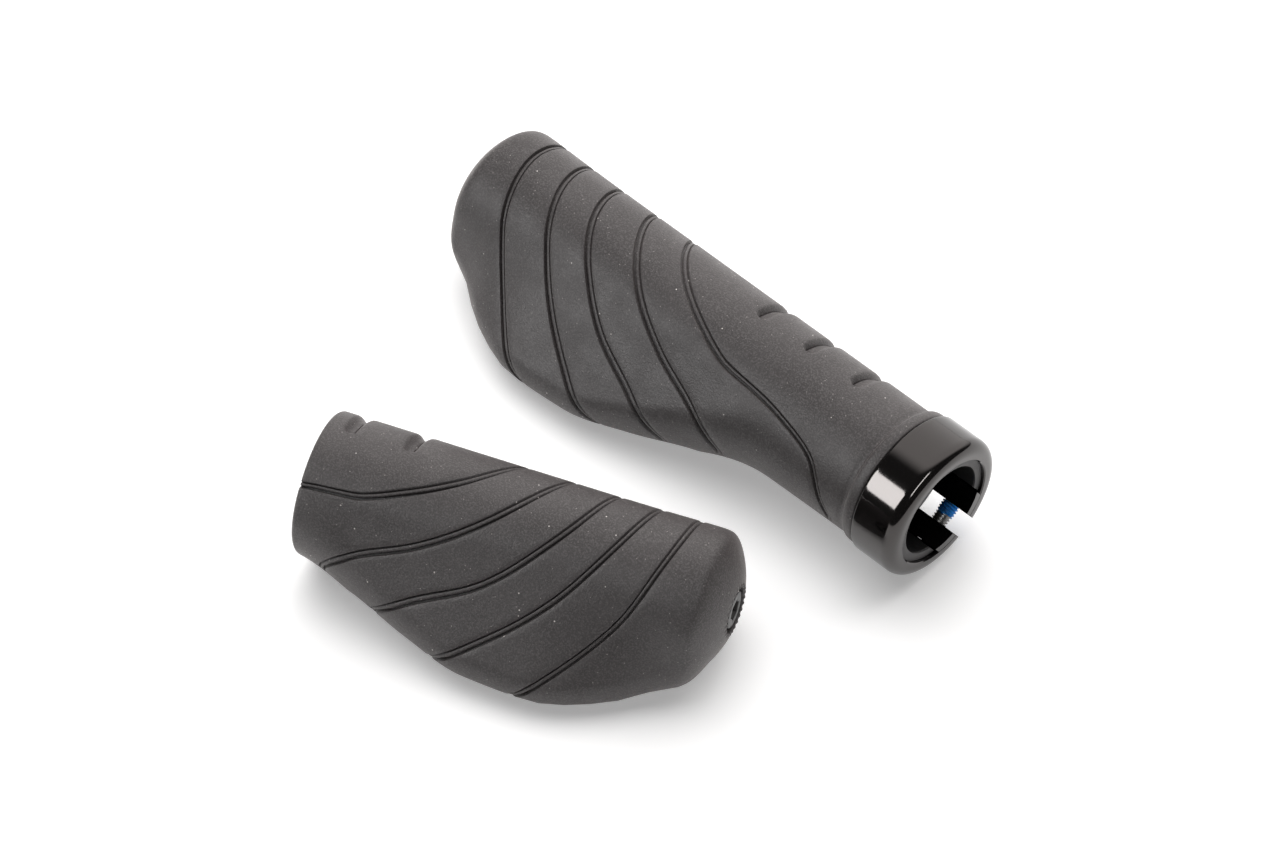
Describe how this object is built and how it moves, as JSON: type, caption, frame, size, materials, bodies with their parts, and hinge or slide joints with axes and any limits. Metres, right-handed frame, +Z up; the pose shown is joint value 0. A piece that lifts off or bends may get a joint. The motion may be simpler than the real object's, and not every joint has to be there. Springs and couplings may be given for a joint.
{
  "type": "bar end grips",
  "caption": "Ergonomic rubber handlebar grips with a palm wing and curved grooves: a long one with a split lock collar, and a short one with an expander in its outer end.",
  "frame": {"origin": "centre of the pair's footprint, on the surface they lie on", "axes": "+X runs along the long grip from its outer tip towards its collar, tilted up by 0.87 degrees where the collar lifts it; +Y is its finger side; +Z is up"},
  "size_m": [0.138, 0.1174, 0.0354],
  "materials": {
    "grip_rubber": "matte",
    "core_plastic": "satin",
    "insert_plastic": "matte",
    "anodised_aluminium": "glossy black anodised",
    "plain_aluminium": "satin",
    "screw_steel": "satin",
    "threadlock": "matte"
  },
  "bodies": {
    "grips": {"left_grip_rubber": "grip_rubber", "left_core_sleeve": "core_plastic", "left_lock_collar": "anodised_aluminium", "right_grip_rubber": "grip_rubber", "right_core_sleeve": "core_plastic", "right_end_insert": "insert_plastic", "right_bolt_washer": "screw_steel"},
    "clamp_screw": {"left_clamp_screw": "screw_steel", "left_threadlock_patch": "threadlock"},
    "expander_bolt": {"right_expander_bolt": "screw_steel"},
    "wedge_nut": {"right_wedge_nut": "plain_aluminium"},
    "segment_1": {"right_expander_segment_1": "plain_aluminium"},
    "segment_2": {"right_expander_segment_2": "plain_aluminium"},
    "segment_3": {"right_expander_segment_3": "plain_aluminium"}
  },
  "joints": [
    {"name": "clamp_screw_turn", "type": "hinge", "parent": "grips", "child": "clamp_screw", "pos_m": [0.06353, 0.04439, 0.00383], "axis": [0.0078, -0.8599, -0.5105], "range_deg": [0, 720]},
    {"name": "expander_bolt_turn", "type": "hinge", "parent": "grips", "child": "expander_bolt", "pos_m": [0.04728, -0.00946, 0.01634], "axis": [-0.9252, -0.3795, 0], "range_deg": [0, 1081]},
    {"name": "wedge_nut_slide", "type": "slide", "parent": "grips", "child": "wedge_nut", "axis": [0.9252, 0.3795, 0], "range_m": [0, 0.0024]},
    {"name": "segment_1_slide", "type": "slide", "parent": "grips", "child": "segment_1", "axis": [0, 0, -1], "range_m": [0, 0.00052]},
    {"name": "segment_2_slide", "type": "slide", "parent": "grips", "child": "segment_2", "axis": [0.3286, -0.8013, 0.5], "range_m": [0, 0.00052]},
    {"name": "segment_3_slide", "type": "slide", "parent": "grips", "child": "segment_3", "axis": [-0.3286, 0.8013, 0.5], "range_m": [0, 0.00052]}
  ],
  "couplings": [
    {"joint": "expander_bolt_turn", "follows": "wedge_nut_slide", "rad_per_m": 7854},
    {"joint": "segment_1_slide", "follows": "wedge_nut_slide", "ratio": 0.2126},
    {"joint": "segment_2_slide", "follows": "wedge_nut_slide", "ratio": 0.2126},
    {"joint": "segment_3_slide", "follows": "wedge_nut_slide", "ratio": 0.2126}
  ]
}
